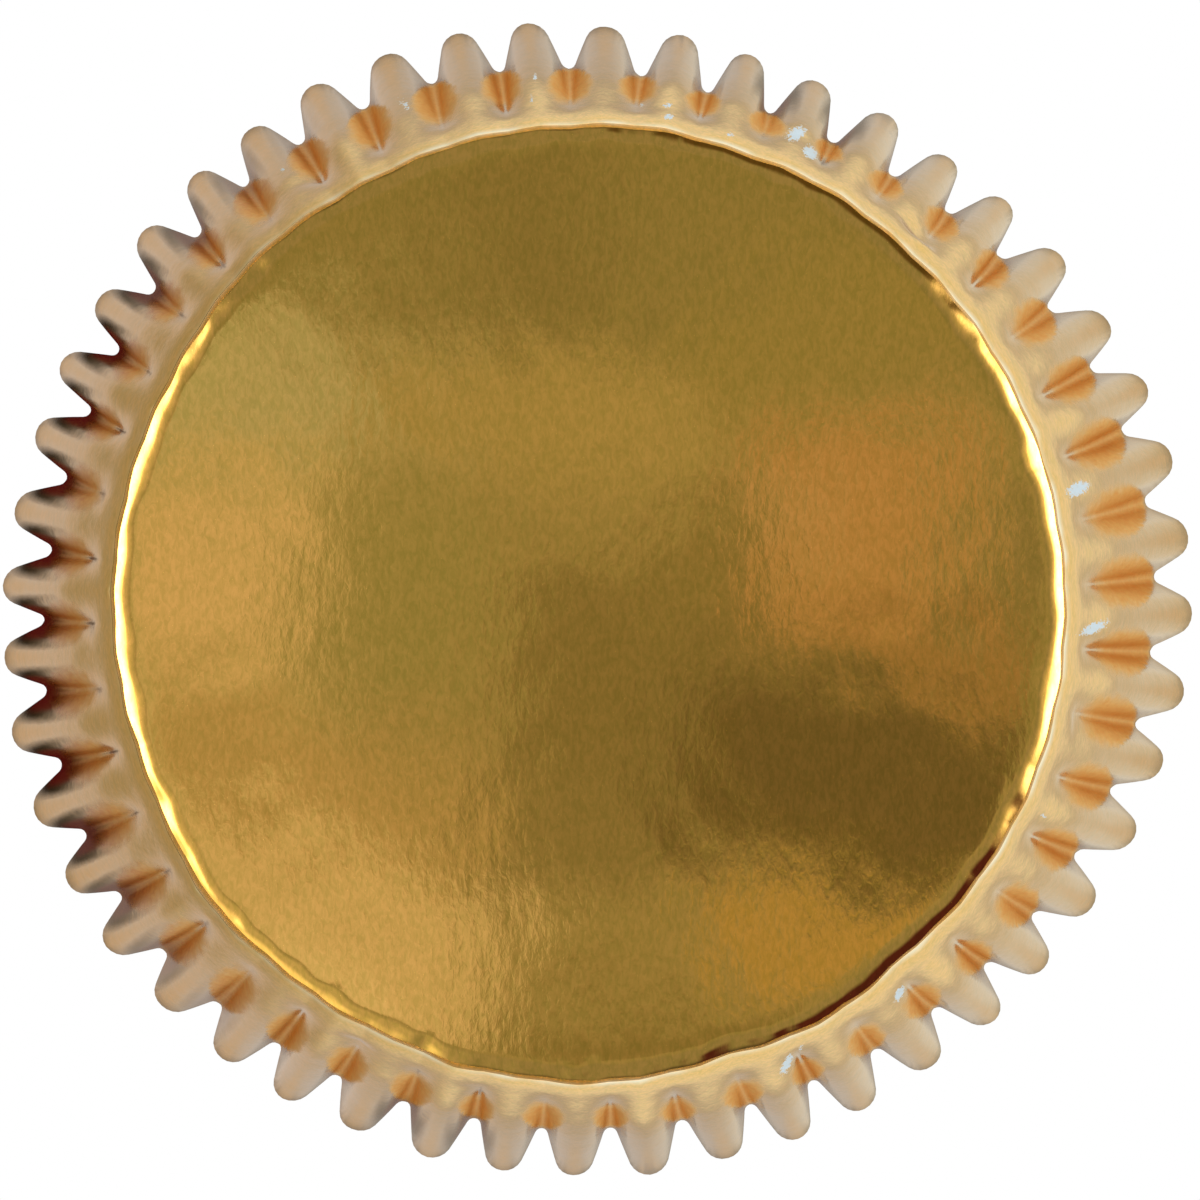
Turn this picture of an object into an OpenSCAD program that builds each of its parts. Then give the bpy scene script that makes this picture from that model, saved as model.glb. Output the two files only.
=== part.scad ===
// Pleated cupcake liner, pressed from one disc of foil-faced baking paper.
// It stands on its flat round base with its mouth up. The origin is the middle of
// the base's underside, and the foil is on the outside.

/* [Size] */
// Diameter of the flat base, over its pressed edge
base_d = 50; // [40:0.5:60]
// Height of the cup
cup_h = 32; // [22:0.5:44]
// Mean diameter of the rim over the crests of the pleats
rim_d = 71.4; // [66:0.2:80]
// Thickness of the foil-faced paper
sheet_t = 0.1; // [0.06:0.01:0.2]

/* [Pleats] */
// Number of pleats round the wall
pleats = 48; // [40:1:54]
// Depth of a pleat at the rim, from crest to valley
pleat_depth = 2.7; // [1.8:0.1:3.2]
// Radius of a pleat's outer crest at the rim
crest_r = 1.22; // [0.9:0.02:1.4]
// Radius of a pleat's inner valley at the rim
valley_r = 0.46; // [0.3:0.02:0.6]
// Depth of the faint scallop that each pleat leaves in the base's edge
scallop = 0.16; // [0:0.02:0.4]
// How the depth grows up the wall: 1 is even, less makes it deepen sooner
growth = 0.7; // [0.5:0.05:1]
// How much broader the crests are near the base, as a share of the pitch
fullness = 0.21; // [0:0.01:0.25]
// Radius of the valleys at the base, as a share of their radius at the rim
sharpness = 0.25; // [0.2:0.05:1]
// How far the wall bellies out low down, before it runs straight to the rim
bowl = 3.0; // [0:0.1:4]

/* [Base edge] */
// Radius of the pressed edge between the base and the wall
edge_r = 0.5; // [0.3:0.05:0.9]

/* [Handling] */
// How far the rim has spread into an oval
oval = 0.67; // [0:0.01:1]
// How far the rim has spread into three soft corners
three_corners = 0.49; // [0:0.01:0.8]
// How far the rim has spread into four soft corners
four_corners = 0.29; // [0:0.01:0.6]
// How much of that spread the pleats lose in depth
slackening = 0.3; // [0:0.05:0.6]
// Angle by which the pleats crowd towards one side at the rim
crowding = 0.5; // [0:0.1:1]
// Share by which single pleats differ in depth
unevenness = 0.07; // [0:0.01:0.15]
// How much single pleats differ in how soon they deepen
uneven_start = 0.2; // [0:0.02:0.3]
// Angle by which single pleats lean at the rim
leaning = 0.3; // [0:0.05:0.6]

/* [Hidden] */
foil = "#c9a24a";

// Directions of the oval, of the soft corners and of the crowding
oval_at = 5;
three_at = -26;
four_at = 66;
crowd_at = 172;
// Direction of the first pleat's crest
first_pleat = 1.5;
// From one pleat to the next, the differences in depth, in its start and in lean turn by
// these angles
depth_turn = 137.5;
start_turn = 222;
lean_turn = 100;

base_r = base_d / 2;
mid_rim_r = rim_d / 2 - pleat_depth / 2;

// The wall leaves the edge at this angle to the floor
wall_angle = atan2(cup_h, mid_rim_r - base_r);
flat_r = base_r - edge_r * sin(wall_angle);

// Rings up the outer face: three over the pressed edge, then these shares of the wall
edge_turns = [0, wall_angle / 2, wall_angle];
wall_shares = [0.1, 0.32, 0.62, 1];
rings = concat([for (turn = edge_turns) edge_ring(turn)],
               [for (share = wall_shares) wall_ring(share)]);
ring_count = len(rings);

// Across a pleat, the points lie where the rim's own section turns, as shares of half
// its pitch: the valley, then where the flanks end and halfway round the crest's arc
rim_pitch = 2 * PI * mid_rim_r / pleats;
rim_slope = flank_slope(pleat_depth, rim_pitch, crest_r, valley_r);
arc_share = crest_r * sin(rim_slope / 2) / (rim_pitch / 2);
flank_share = crest_r * sin(rim_slope) / (rim_pitch / 2);
foot_share = 1 - valley_r * sin(rim_slope) / (rim_pitch / 2);
section_shares = [-1, -foot_share, -flank_share, -arc_share,
                  0, arc_share, flank_share, foot_share];
columns = pleats * len(section_shares);

// A ring is its mean radius, its height, its pleats' depth and its share of the way up
function edge_ring(turn) =
    let (rise = edge_r * (1 - cos(turn)))
    [flat_r + edge_r * sin(turn), rise, scallop * turn / wall_angle, 0];

function wall_ring(share) =
    let (foot = edge_ring(wall_angle))
    [foot[0] + share * (mid_rim_r - foot[0]) + bowl * share * pow(1 - share, 2),
     foot[1] + share * (cup_h - foot[1]),
     scallop + (pleat_depth - scallop) * pow(share, growth),
     share];

// Out-of-round terms at a direction a: how far the rim stands out there
function spread(a) =
    oval * cos(2 * a + oval_at)
    + three_corners * cos(3 * a + three_at)
    + four_corners * cos(4 * a + four_at);

// A pleat's section is a crest arc, a straight flank and a valley arc. This is the
// slope at which the flank meets both arcs, for a pleat of this depth and pitch.
function flank_slope(depth, pitch, crest, valley) =
    let (rise = depth - crest - valley, run = pitch / 2)
    atan2(rise, run) + asin((crest + valley) / norm([run, rise]));

// How far the section stands out at a distance across from the middle of its pleat. Low on
// the wall the crests are broad and the valleys are sharp creases.
function section_out(across, depth, pitch, share) =
    let (valley = valley_r * (sharpness + (1 - sharpness) * share),
         crest = min(pitch * (crest_r / rim_pitch + fullness * (1 - share)),
                     0.48 * pitch - valley),
         slope = flank_slope(depth, pitch, crest, valley),
         to_valley = pitch / 2 - across,
         flank_x = crest * sin(slope),
         flank_y = depth / 2 - crest * (1 - cos(slope)))
    across < flank_x ? depth / 2 - crest + sqrt(crest * crest - across * across)
    : to_valley < valley * sin(slope)
      ? valley - depth / 2 - sqrt(valley * valley - to_valley * to_valley)
    : flank_y - (across - flank_x) * tan(slope);

// A difference between single pleats at a section point of pleat i. It runs over into the
// next pleat's, so that both have the same valley.
function differing(i, section_share, turn) =
    let (beside = (i + sign(section_share) + pleats) % pleats)
    sin(i * turn) + (sin(beside * turn) - sin(i * turn)) * abs(section_share) / 2;

// Depth of pleat i at a section point of one ring
function own_depth(i, section_share, ring) =
    let (middle = first_pleat + i * 360 / pleats,
         even_depth = ring[2] - slackening * spread(middle) * pow(ring[3], 2),
         start = uneven_start * differing(i, section_share, start_turn))
    even_depth * (1 + unevenness * differing(i, section_share, depth_turn))
    * (ring[3] > 0 ? pow(ring[3], start) : 1);

// One ring of the outer face
function ring_points(ring) =
    let (pitch_angle = 360 / pleats, pitch = 2 * PI * ring[0] / pleats)
    [for (i = [0 : pleats - 1], s = section_shares)
        let (a = first_pleat + (i + s / 2) * pitch_angle,
             out = section_out(abs(s) * pitch / 2, own_depth(i, s, ring), pitch, ring[3]),
             r = ring[0] + out + spread(a) * pow(ring[3], 2),
             lean = (crowding * cos(a - crowd_at) + leaning * differing(i, s, lean_turn))
                    * pow(ring[3], 2))
        [r * cos(a + lean), r * sin(a + lean), ring[1]]];

outer = [for (ring = rings) ring_points(ring)];

// Outward direction at a point of the outer face, from its four neighbours
function outward(j, i) =
    let (east = outer[j][(i + 1) % columns],
         west = outer[j][(i + columns - 1) % columns],
         above = outer[min(j + 1, ring_count - 1)][i],
         below = outer[max(j - 1, 0)][i],
         n = cross(east - west, above - below))
    j == 0 ? [0, 0, -1] : n / norm(n);

// The paper's face lies one sheet inside the foil's. The rim is cut level.
function inner_point(j, i) =
    let (p = outer[j][i] - sheet_t * outward(j, i))
    j < ring_count - 1 ? p : [p[0], p[1], cup_h];

inner = [for (j = [0 : ring_count - 1]) [for (i = [0 : columns - 1]) inner_point(j, i)]];

module liner() {
    face_size = ring_count * columns;
    middle = 2 * face_size;
    points = concat([for (ring = outer) each ring],
                    [for (ring = inner) each ring],
                    [[0, 0, 0], [0, 0, sheet_t]]);
    outside = [for (j = [0 : ring_count - 2]) for (i = [0 : columns - 1])
        let (a = j * columns + i, b = j * columns + (i + 1) % columns)
        each [[a, a + columns, b + columns], [a, b + columns, b]]];
    inside = [for (f = outside) [f[2] + face_size, f[1] + face_size, f[0] + face_size]];
    top = (ring_count - 1) * columns;
    rim = [for (i = [0 : columns - 1])
        let (a = top + i, b = top + (i + 1) % columns)
        each [[a, a + face_size, b + face_size], [a, b + face_size, b]]];
    base = [for (i = [0 : columns - 1])
        let (next = (i + 1) % columns)
        each [[middle, i, next], [middle + 1, face_size + next, face_size + i]]];
    color(foil) polyhedron(points = points, faces = concat(outside, inside, rim, base));
}

liner();
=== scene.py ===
import math

import bpy
import numpy as np
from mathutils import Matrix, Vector


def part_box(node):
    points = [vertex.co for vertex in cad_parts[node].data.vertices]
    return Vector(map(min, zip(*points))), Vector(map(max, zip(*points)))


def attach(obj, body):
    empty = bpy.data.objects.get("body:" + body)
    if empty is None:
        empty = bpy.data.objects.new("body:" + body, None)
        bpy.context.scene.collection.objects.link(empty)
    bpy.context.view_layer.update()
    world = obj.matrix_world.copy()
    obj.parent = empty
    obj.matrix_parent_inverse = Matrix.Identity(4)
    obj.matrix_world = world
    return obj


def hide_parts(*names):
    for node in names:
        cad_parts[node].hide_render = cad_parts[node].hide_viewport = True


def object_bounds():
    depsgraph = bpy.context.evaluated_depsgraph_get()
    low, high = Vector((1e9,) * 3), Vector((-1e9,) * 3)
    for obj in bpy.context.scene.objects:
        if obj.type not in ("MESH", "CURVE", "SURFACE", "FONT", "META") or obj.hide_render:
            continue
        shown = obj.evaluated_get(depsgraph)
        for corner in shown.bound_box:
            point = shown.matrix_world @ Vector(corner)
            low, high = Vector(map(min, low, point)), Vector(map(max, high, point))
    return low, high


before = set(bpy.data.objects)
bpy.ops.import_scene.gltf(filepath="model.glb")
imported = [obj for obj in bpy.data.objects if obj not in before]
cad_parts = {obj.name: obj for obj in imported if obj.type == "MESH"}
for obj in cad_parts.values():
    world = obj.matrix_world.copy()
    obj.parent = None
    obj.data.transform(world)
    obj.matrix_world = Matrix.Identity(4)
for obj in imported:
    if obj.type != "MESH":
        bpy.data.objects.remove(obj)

cad_low, cad_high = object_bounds()

# The liner is one disc of greaseproof paper with gold-lacquered foil on its outside. Fluted
# dies press it into a cup: a flat base, a rolled edge, and a wall gathered into 48 pleats
# that deepen towards the rim, because the disc's outer parts have paper to spare.
# Its lengths are in millimetres, which MM turns into metres, and its angles in degrees.
MM = 0.001
liner_low, liner_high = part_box("liner")
cup_h = (liner_high.z - liner_low.z) / MM
base_r = 25.0
rim_crest_r = 35.7
sheet_t = 0.1
pleats = 48
pleat_depth = 2.7
crest_r = 1.22
valley_r = 0.46
growth = 0.7
fullness = 0.21
widest_crest = 0.48
sharpness = 0.25
uneven_start, start_turn = 0.2, 222
bowl = 3.0
scallop = 0.16
oval, oval_at = 0.67, 5
three_corners, three_at = 0.49, -26
four_corners, four_at = 0.29, 66
slackening = 0.3
crowding, crowd_at = 0.5, 172
unevenness, depth_turn = 0.07, 137.5
leaning, lean_turn = 0.3, 100
first_pleat = 1.5

# Round the base the paper curls up gently and then folds sharply into the wall. Just above
# the fold each valley tucks in.
curl_w = 1.10
curl_wander = 0.08
curl_turn = 33
curl_power = 2.6
foot_turn = 60
foot_flare = 0.28
fold_r, valley_fold_r = 0.34, 0.36
flare_share = 0.045
tuck = 0.05
tuck_share, tuck_wide = 0.03, 0.02
edge_scallop = 0.09
# Up to this share of the wall the pleats still begin
begin_share = 0.29

mid_rim_r = rim_crest_r - pleat_depth / 2
pitch_angle = 360 / pleats
rim_pitch = 2 * math.pi * mid_rim_r / pleats
curl_h = curl_w * math.tan(math.radians(curl_turn)) / curl_power
fold_turn = math.radians(curl_turn)
foot_angle = math.radians(foot_turn)
fold_w = fold_r * (math.sin(foot_angle) - math.sin(fold_turn))
fold_h = fold_r * (math.cos(fold_turn) - math.cos(foot_angle))
flat_r = base_r - curl_w - fold_w
foot_r, foot_h = base_r, curl_h + fold_h


def flank_slope(depth, pitch, crest, valley):
    """Slope of a pleat's straight flank, which meets the crest's arc and the valley's."""
    rise = depth - crest - valley
    run = pitch / 2
    return np.arctan2(rise, run) + np.arcsin((crest + valley) / np.hypot(run, rise))


def section_out(across, depth, pitch, share):
    """How far a pleat's section stands out, at a distance across from its middle."""
    valley = valley_r * (sharpness + (1 - sharpness) * share)
    crest = min(pitch * (crest_r / rim_pitch + fullness * (1 - share)),
                widest_crest * pitch - valley)
    slope = flank_slope(depth, pitch, crest, valley)
    to_valley = pitch / 2 - across
    on_crest = depth / 2 - crest + np.sqrt(np.maximum(crest ** 2 - across ** 2, 0))
    in_valley = valley - depth / 2 - np.sqrt(np.maximum(valley ** 2 - to_valley ** 2, 0))
    flank_x = crest * np.sin(slope)
    flank_y = depth / 2 - crest * (1 - np.cos(slope))
    on_flank = flank_y - (across - flank_x) * np.tan(slope)
    inner = np.where(to_valley < valley * np.sin(slope), in_valley, on_flank)
    return np.where(across < flank_x, on_crest, inner)


def spread(angle):
    """How far the rim stands out of round at an angle in degrees."""
    return (oval * np.cos(np.radians(2 * angle + oval_at))
            + three_corners * np.cos(np.radians(3 * angle + three_at))
            + four_corners * np.cos(np.radians(4 * angle + four_at)))


# Points across half a pleat at the rim, as shares of half its pitch: round the crest,
# down the flank and round the valley
rim_slope = float(flank_slope(pleat_depth, rim_pitch, crest_r, valley_r))
crest_turns = np.linspace(0, rim_slope, 5)
valley_turns = np.linspace(rim_slope, 0, 4)
crest_x = crest_r * np.sin(crest_turns)
valley_x = rim_pitch / 2 - valley_r * np.sin(valley_turns)
flank_x = np.linspace(crest_x[-1], valley_x[0], 4)[1:-1]
half_shares = np.concatenate([crest_x, flank_x, valley_x]) / (rim_pitch / 2)
shares = np.concatenate([-half_shares[:0:-1], half_shares[:-1]])
columns = pleats * len(shares)
pleat_of = np.repeat(np.arange(pleats), len(shares))
share_of = np.tile(shares, pleats)
middle_of = first_pleat + pleat_of * pitch_angle


def wave_field(seed, count, shortest, longest):
    """A smooth random field over a plane: waves of many directions that add to about 1."""
    draw = np.random.default_rng(seed)
    length = shortest * (longest / shortest) ** draw.random(count)
    heading = draw.random(count) * 2 * math.pi
    phase = draw.random(count) * 2 * math.pi

    def field(x, y):
        total = np.zeros(np.broadcast(x, y).shape)
        for wave, turn, start in zip(length, heading, phase):
            along = x * math.cos(turn) + y * math.sin(turn)
            total += np.sin(2 * math.pi * along / wave + start)
        return total / math.sqrt(count)

    return field


wall_crinkle = wave_field(3, 14, 2.0, 6.0)
edge_wander = wave_field(11, 10, 2.5, 11.0)
curl_mood = wave_field(17, 12, 1.3, 8.0)
base_swell = wave_field(5, 9, 9.0, 24.0)
base_ripple = wave_field(8, 16, 2.5, 6.0)
crinkle_size, crinkle_share, crinkle_squash = 0.012, 0.1, 0.6
swell_size = 0.005
ripple_size = 0.0022
base_gap, gap_rise = 0.03, 6
# From place to place the curl is a little blunter or sharper
curl_change, most_change = 0.55, 1.5

# Dents that handling has left low on the wall: direction, height, radius and depth
dents = [(-49, 4.0, 1.1, 0.30), (-47, 2.4, 0.7, -0.12), (-124, 7.0, 1.0, 0.16),
         (-66, 6.5, 0.9, 0.15), (14, 5.0, 0.9, 0.12), (118, 4.0, 1.0, 0.12)]

# The base's edge isn't a true circle: direction, width in degrees and how far it stands out
edge_bulges = [(48, 5, -0.20), (61, 6, 0.12), (73, 4, -0.20), (92, 8, 0.24), (106, 5, 0.30),
               (122, 9, 0.22), (141, 10, 0.46), (187, 20, 0.14), (227, 13, 0.34),
               (256, 13, 0.26), (277, 9, 0.26), (299, 9, 0.18), (20, 16, 0.12)]
# The bulges fade up the wall by this power of what is left of it
bulge_fade = 5


def edge_out(angle):
    """How far the base's edge stands out of its circle at an angle in degrees."""
    out = 0.0
    for toward, wide, far in edge_bulges:
        out = out + far * np.exp(-(((angle - toward + 180) % 360 - 180) / wide) ** 2)
    return out


def differing(turn):
    """How single pleats differ, all round, in a measure that turns from each to the next."""
    here = np.sin(np.radians(pleat_of * turn))
    beside = np.sin(np.radians((pleat_of + np.sign(share_of)) % pleats * turn))
    return here + (beside - here) * np.abs(share_of) / 2


def wall_ring(mean_r, height, depth, share):
    """Points of one ring of the outer face, with its pleats laid at their own angles."""
    even_depth = depth - slackening * spread(middle_of) * share ** 2
    own_depth = even_depth * (1 + unevenness * differing(depth_turn))
    if share > 0:
        own_depth *= share ** (uneven_start * differing(start_turn))
    pitch = 2 * math.pi * mean_r / pleats
    across = share_of * pitch / 2
    out = section_out(np.abs(across), own_depth, pitch, share)
    angle = middle_of + np.degrees(across / mean_r)
    crowded = crowding * np.cos(np.radians(angle - crowd_at))
    lean = (leaning * differing(lean_turn) + crowded) * share ** 2
    radius = mean_r + out + spread(angle) * share ** 2
    if share > 0:
        radius += edge_out(angle) * (1 - share) ** bulge_fade
        tucked = np.clip(-out / (depth / 2), 0, 1)
        radius -= tuck * tucked * math.exp(-((share - tuck_share) / tuck_wide) ** 2)
        round_wall = np.radians(angle) * base_r
        crinkled = crinkle_size * min(1, share / crinkle_share)
        radius += crinkled * wall_crinkle(round_wall, height * crinkle_squash)
        for dent_angle, dent_h, dent_r, dent_depth in dents:
            off = np.radians((angle - dent_angle + 180) % 360 - 180) * mean_r
            far = (off ** 2 + (height - dent_h) ** 2) / dent_r ** 2
            radius -= dent_depth * np.exp(-far)
    turned = np.radians(angle + lean)
    return np.stack([radius * np.cos(turned), radius * np.sin(turned),
                     np.full(columns, height)], 1)


def base_lift(x, y):
    """The base isn't quite flat: it stands a little off the table between its ripples."""
    far = np.hypot(x, y) / flat_r
    lift = swell_size * base_swell(x, y) + ripple_size * base_ripple(x, y)
    return (lift + base_gap) * np.clip((1 - far) * gap_rise, 0, 1)


# Rings of the outer face from the base's middle to the rim. In the base the columns halve
# towards the middle, so that its faces stay well shaped.
wall_shares = np.concatenate([np.linspace(0.006, 0.12, 12), np.linspace(0.15, 0.40, 8),
                              np.linspace(0.46, 1, 10)])
base_rings = [(1.0, 16), (2.2, 16), (3.6, 8), (5.0, 8), (6.5, 4), (8.0, 4), (9.5, 4),
              (11.0, 4), (12.5, 2), (14.0, 2), (15.5, 2), (17.0, 2), (18.5, 2),
              (19.8, 1), (21.0, 1), (22.2, 1), (23.1, 1)]
edge_angle = middle_of + share_of * pitch_angle / 2
edge_x = base_r * np.cos(np.radians(edge_angle))
edge_y = base_r * np.sin(np.radians(edge_angle))
stands_out = edge_out(edge_angle)
flat_here = flat_r + stands_out + curl_wander * edge_wander(edge_x, edge_y)
first_edge = wall_ring(flat_r, 0, 0, 0) * (flat_here / flat_r)[:, None]
rings = []
for ring_r, step in base_rings:
    spoke = first_edge[::step] * (ring_r / flat_r)
    spoke[:, 2] = base_lift(spoke[:, 0], spoke[:, 1])
    rings.append(spoke)
in_valley = (1 - np.cos(math.pi * np.abs(share_of))) / 2
own_curl = np.clip(curl_mood(edge_x, edge_y), -most_change, most_change)
own_fold = fold_r + (valley_fold_r - fold_r) * in_valley ** 2
own_foot = foot_r + stands_out - own_fold * (math.sin(foot_angle) - math.sin(fold_turn))
for part in np.linspace(0, 1, 9):
    ring = wall_ring(flat_r, 0, edge_scallop * part, 0)
    ring[:, :2] *= ((flat_here + part * (own_foot - flat_here)) / flat_r)[:, None]
    ring[:, 2] = curl_h * part ** (curl_power + curl_change * own_curl)
    rings.append(ring)
for turn in np.linspace(fold_turn, foot_angle, 5)[1:]:
    ring = wall_ring(flat_r, 0, edge_scallop, 0)
    reach = own_foot + own_fold * (math.sin(turn) - math.sin(fold_turn))
    ring[:, :2] *= (reach / flat_r)[:, None]
    ring[:, 2] = curl_h + fold_h * (math.cos(fold_turn) - math.cos(turn)) / (
        math.cos(fold_turn) - math.cos(foot_angle))
    rings.append(ring)
for share in wall_shares:
    bulge = bowl * share * (1 - share) ** 2
    bulge += foot_flare * (1 - math.exp(-share / flare_share)) * (1 - share) ** 2
    begun = min(1, share / begin_share)
    begun = begun ** 2 * (3 - 2 * begun)
    depth = scallop + (pleat_depth - scallop) * share ** growth
    rings.append(wall_ring(foot_r + share * (mid_rim_r - foot_r) + bulge,
                           foot_h + share * (cup_h - foot_h),
                           edge_scallop + (depth - edge_scallop) * begun, share))

middle_point = np.array([[0, 0, float(base_lift(0.0, 0.0))]])
outer = np.concatenate([middle_point] + rings)
starts = np.cumsum([1] + [len(ring) for ring in rings])


def stitched(lower, upper):
    """Triangles between two rings. The upper one has as many points or twice as many."""
    low_n, up_n = len(rings[lower]), len(rings[upper])
    low = starts[lower] + np.arange(low_n)
    low_next = starts[lower] + (np.arange(low_n) + 1) % low_n
    if low_n == up_n:
        up, up_next = low - starts[lower] + starts[upper], low_next - starts[lower] + starts[upper]
        return np.concatenate([np.stack([low, low_next, up_next], 1),
                               np.stack([low, up_next, up], 1)])
    up = starts[upper] + 2 * np.arange(low_n)
    up_half, up_next = up + 1, starts[upper] + (2 * np.arange(low_n) + 2) % up_n
    return np.concatenate([np.stack([low, up_half, up], 1),
                           np.stack([low, low_next, up_half], 1),
                           np.stack([low_next, up_next, up_half], 1)])


first_ring = starts[0] + np.arange(len(rings[0]))
fan = np.stack([np.zeros_like(first_ring), np.roll(first_ring, -1), first_ring], 1)
foil_faces = np.concatenate([fan] + [stitched(j, j + 1) for j in range(len(rings) - 1)])

# The paper's face lies one sheet inside the foil's, and the rim is cut level
corner = outer[foil_faces]
face_normal = np.cross(corner[:, 1] - corner[:, 0], corner[:, 2] - corner[:, 0])
point_normal = np.zeros_like(outer)
for side in range(3):
    np.add.at(point_normal, foil_faces[:, side], face_normal)
point_normal /= np.linalg.norm(point_normal, axis=1, keepdims=True)
if point_normal[0, 2] > 0:
    point_normal = -point_normal
    foil_faces = foil_faces[:, ::-1]
inner = outer - sheet_t * point_normal
inner[-columns:, 2] = cup_h
paper_faces = foil_faces[:, ::-1] + len(outer)
# The cut rim has points of its own, so that the foil's shading runs straight up to it
rim_out = 2 * len(outer) + np.arange(columns)
rim_next = np.roll(rim_out, -1)
rim_in, rim_in_next = rim_out + columns, rim_next + columns
rim_faces = np.concatenate([np.stack([rim_out, rim_next, rim_in_next], 1),
                            np.stack([rim_out, rim_in_next, rim_in], 1)])
points = np.concatenate([outer, inner, outer[-columns:], inner[-columns:]]) * MM
faces = np.concatenate([foil_faces, paper_faces, rim_faces])
liner_mesh = bpy.data.meshes.new("liner_sheet")
liner_mesh.from_pydata(points.tolist(), [], faces.tolist())
liner_mesh.shade_smooth()
slots = np.concatenate([np.zeros(len(foil_faces), int), np.ones(len(paper_faces), int),
                        np.ones(len(rim_faces), int)])
liner_mesh.polygons.foreach_set("material_index", slots)

# Painted glints on the wall, in small bluish-white flecks. Each is laid out as the camera sees
# it from this far below, in millimetres at the base's level: its middle, half its length and
# width, its turn and how strong it is.
camera_far = 189.0
flecks = [(-9.78, -26.10, 0.50, 0.20, 45, 0.80), (-2.88, -27.56, 0.26, 0.15, 90, 0.85),
          (-3.03, -26.52, 0.65, 0.10, 98, 0.70), (4.03, -26.10, 0.24, 0.20, 0, 0.90),
          (4.13, -25.47, 0.27, 0.18, 0, 0.95), (2.72, -26.05, 0.18, 0.13, 0, 0.75),
          (7.32, -24.53, 0.24, 0.18, 0, 0.65), (10.77, -24.58, 0.58, 0.38, -30, 0.95),
          (11.51, -23.59, 0.42, 0.30, 40, 1.05), (-16.11, -22.75, 0.24, 0.14, 90, 0.75),
          (25.52, -6.01, 0.66, 0.34, -28, 1.05), (26.36, 1.26, 0.82, 0.28, -25, 1.0),
          (23.69, 11.09, 0.18, 0.13, 0, 0.75), (16.16, 20.40, 0.48, 0.22, -60, 0.95),
          (10.25, 24.11, 0.66, 0.22, -62, 1.0), (11.04, 23.22, 0.30, 0.18, -50, 0.65)]
fleck_soft = 1.4
seen = outer[:, :2] * (camera_far / (camera_far + outer[:, 2]))[:, None]
fleck_glint = np.zeros(len(outer))
for fleck_x, fleck_y, fleck_long, fleck_wide, turn, glint_strength in flecks:
    cos_t, sin_t = math.cos(math.radians(turn)), math.sin(math.radians(turn))
    along = ((seen[:, 0] - fleck_x) * cos_t + (seen[:, 1] - fleck_y) * sin_t) / fleck_long
    aside = ((seen[:, 1] - fleck_y) * cos_t - (seen[:, 0] - fleck_x) * sin_t) / fleck_wide
    fleck_glint = np.maximum(fleck_glint, glint_strength * np.exp(-(along ** 2 + aside ** 2) / fleck_soft))
wall_from = 0.6
fleck_glint = np.where(outer[:, 2] > wall_from, fleck_glint, 0)


def ramp(value, start, end):
    """From 0 at the start evenly to 1 at the end, which may be the lower of the two."""
    return np.clip((value - start) / (end - start), 0, 1)


# Along the fold the foil is painted paler, unevenly: worn lacquer and a painted highlight, which
# is weaker on the shaded left
worn_h = 0.22
worn_mean, worn_change, worn_fine = 0.55, 0.25, 1.7
fold_wear_highlight = np.exp(-((outer[:, 2] - foot_h) / worn_h) ** 2) * (outer[:, 2] > 0.8 * curl_h)
worn_wander = edge_wander(outer[:, 0] * worn_fine, outer[:, 1] * worn_fine)
fold_wear_highlight *= worn_mean + worn_change * np.clip(worn_wander, -1, 1)
outer_turn = np.arctan2(outer[:, 1], outer[:, 0])
fold_wear_highlight *= 1 - 0.7 * ramp(np.cos(outer_turn - math.pi), 0.6, 0.9)

# In the valleys the foil is rough in a patch that is painted deeper orange as painted shade of the
# groove. It begins just below the rim's notch and ends in a round tip above the base. Its sides
# are
# kept as seen from below: across is from its valley's line and behind is from the notch, in
# millimetres at the base's level.
wall = outer[-columns * len(wall_shares):].reshape(len(wall_shares), columns, 3)
seen_r = np.hypot(wall[..., 0], wall[..., 1]) * camera_far / (camera_far + wall[..., 2])
wall_turn = np.arctan2(wall[..., 1], wall[..., 0])
own_valley = (pleat_of + (share_of > 0)) % pleats
valley_column = own_valley * len(shares)
from_line = (wall_turn - wall_turn[:, valley_column] + math.pi) % (2 * math.pi) - math.pi
across = np.abs(from_line) * seen_r
notch_r = seen_r[-1, valley_column]
behind = notch_r - seen_r
valley_turn = np.radians(first_pleat + (own_valley - 0.5) * pitch_angle)
own_size = np.sin(np.radians(own_valley * start_turn + 40))
patch_tip_r, long_change, shortest_patch = 26.05, 0.12, 0.9
patch_long = np.maximum(notch_r - patch_tip_r + long_change * own_size, shortest_patch)
narrowest_patch, patch_spread, wide_change = 0.94, 0.21, 0.08
patch_wide = narrowest_patch + patch_spread * patch_long + wide_change * own_size
down_patch = behind / patch_long
tip_share = 0.65
past_middle = np.maximum(down_patch - (1 - tip_share), 0) / tip_share
round_tip = 0.85 * (1 - np.hypot(across / patch_wide, past_middle))
notch_end = (behind + 0.25 * across - 0.45 * across ** 2 + 0.06) * 1.6
in_patch = np.minimum(round_tip, notch_end)
on_wall = np.arange(len(outer)) >= len(outer) - wall[..., 0].size
rough_valley_shade = np.full(len(outer), -1.0)
rough_valley_shade[on_wall] = np.where(wall[..., 2] > wall_from, in_patch, -1).ravel()

# On the side in the table's shade the patches are painted darker towards their notches: painted
# shade
shade_at = math.radians(184)
shaded_side = ramp(np.cos(valley_turn - shade_at), 0.50, 0.85)
near_notch = ramp(down_patch, 0.744, 0.124)
painted_notch_shade = np.zeros(len(outer))
painted_notch_shade[on_wall] = (shaded_side * near_notch).ravel()
from_valley = np.ones(len(outer))
from_valley[on_wall] = across.ravel()

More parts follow.
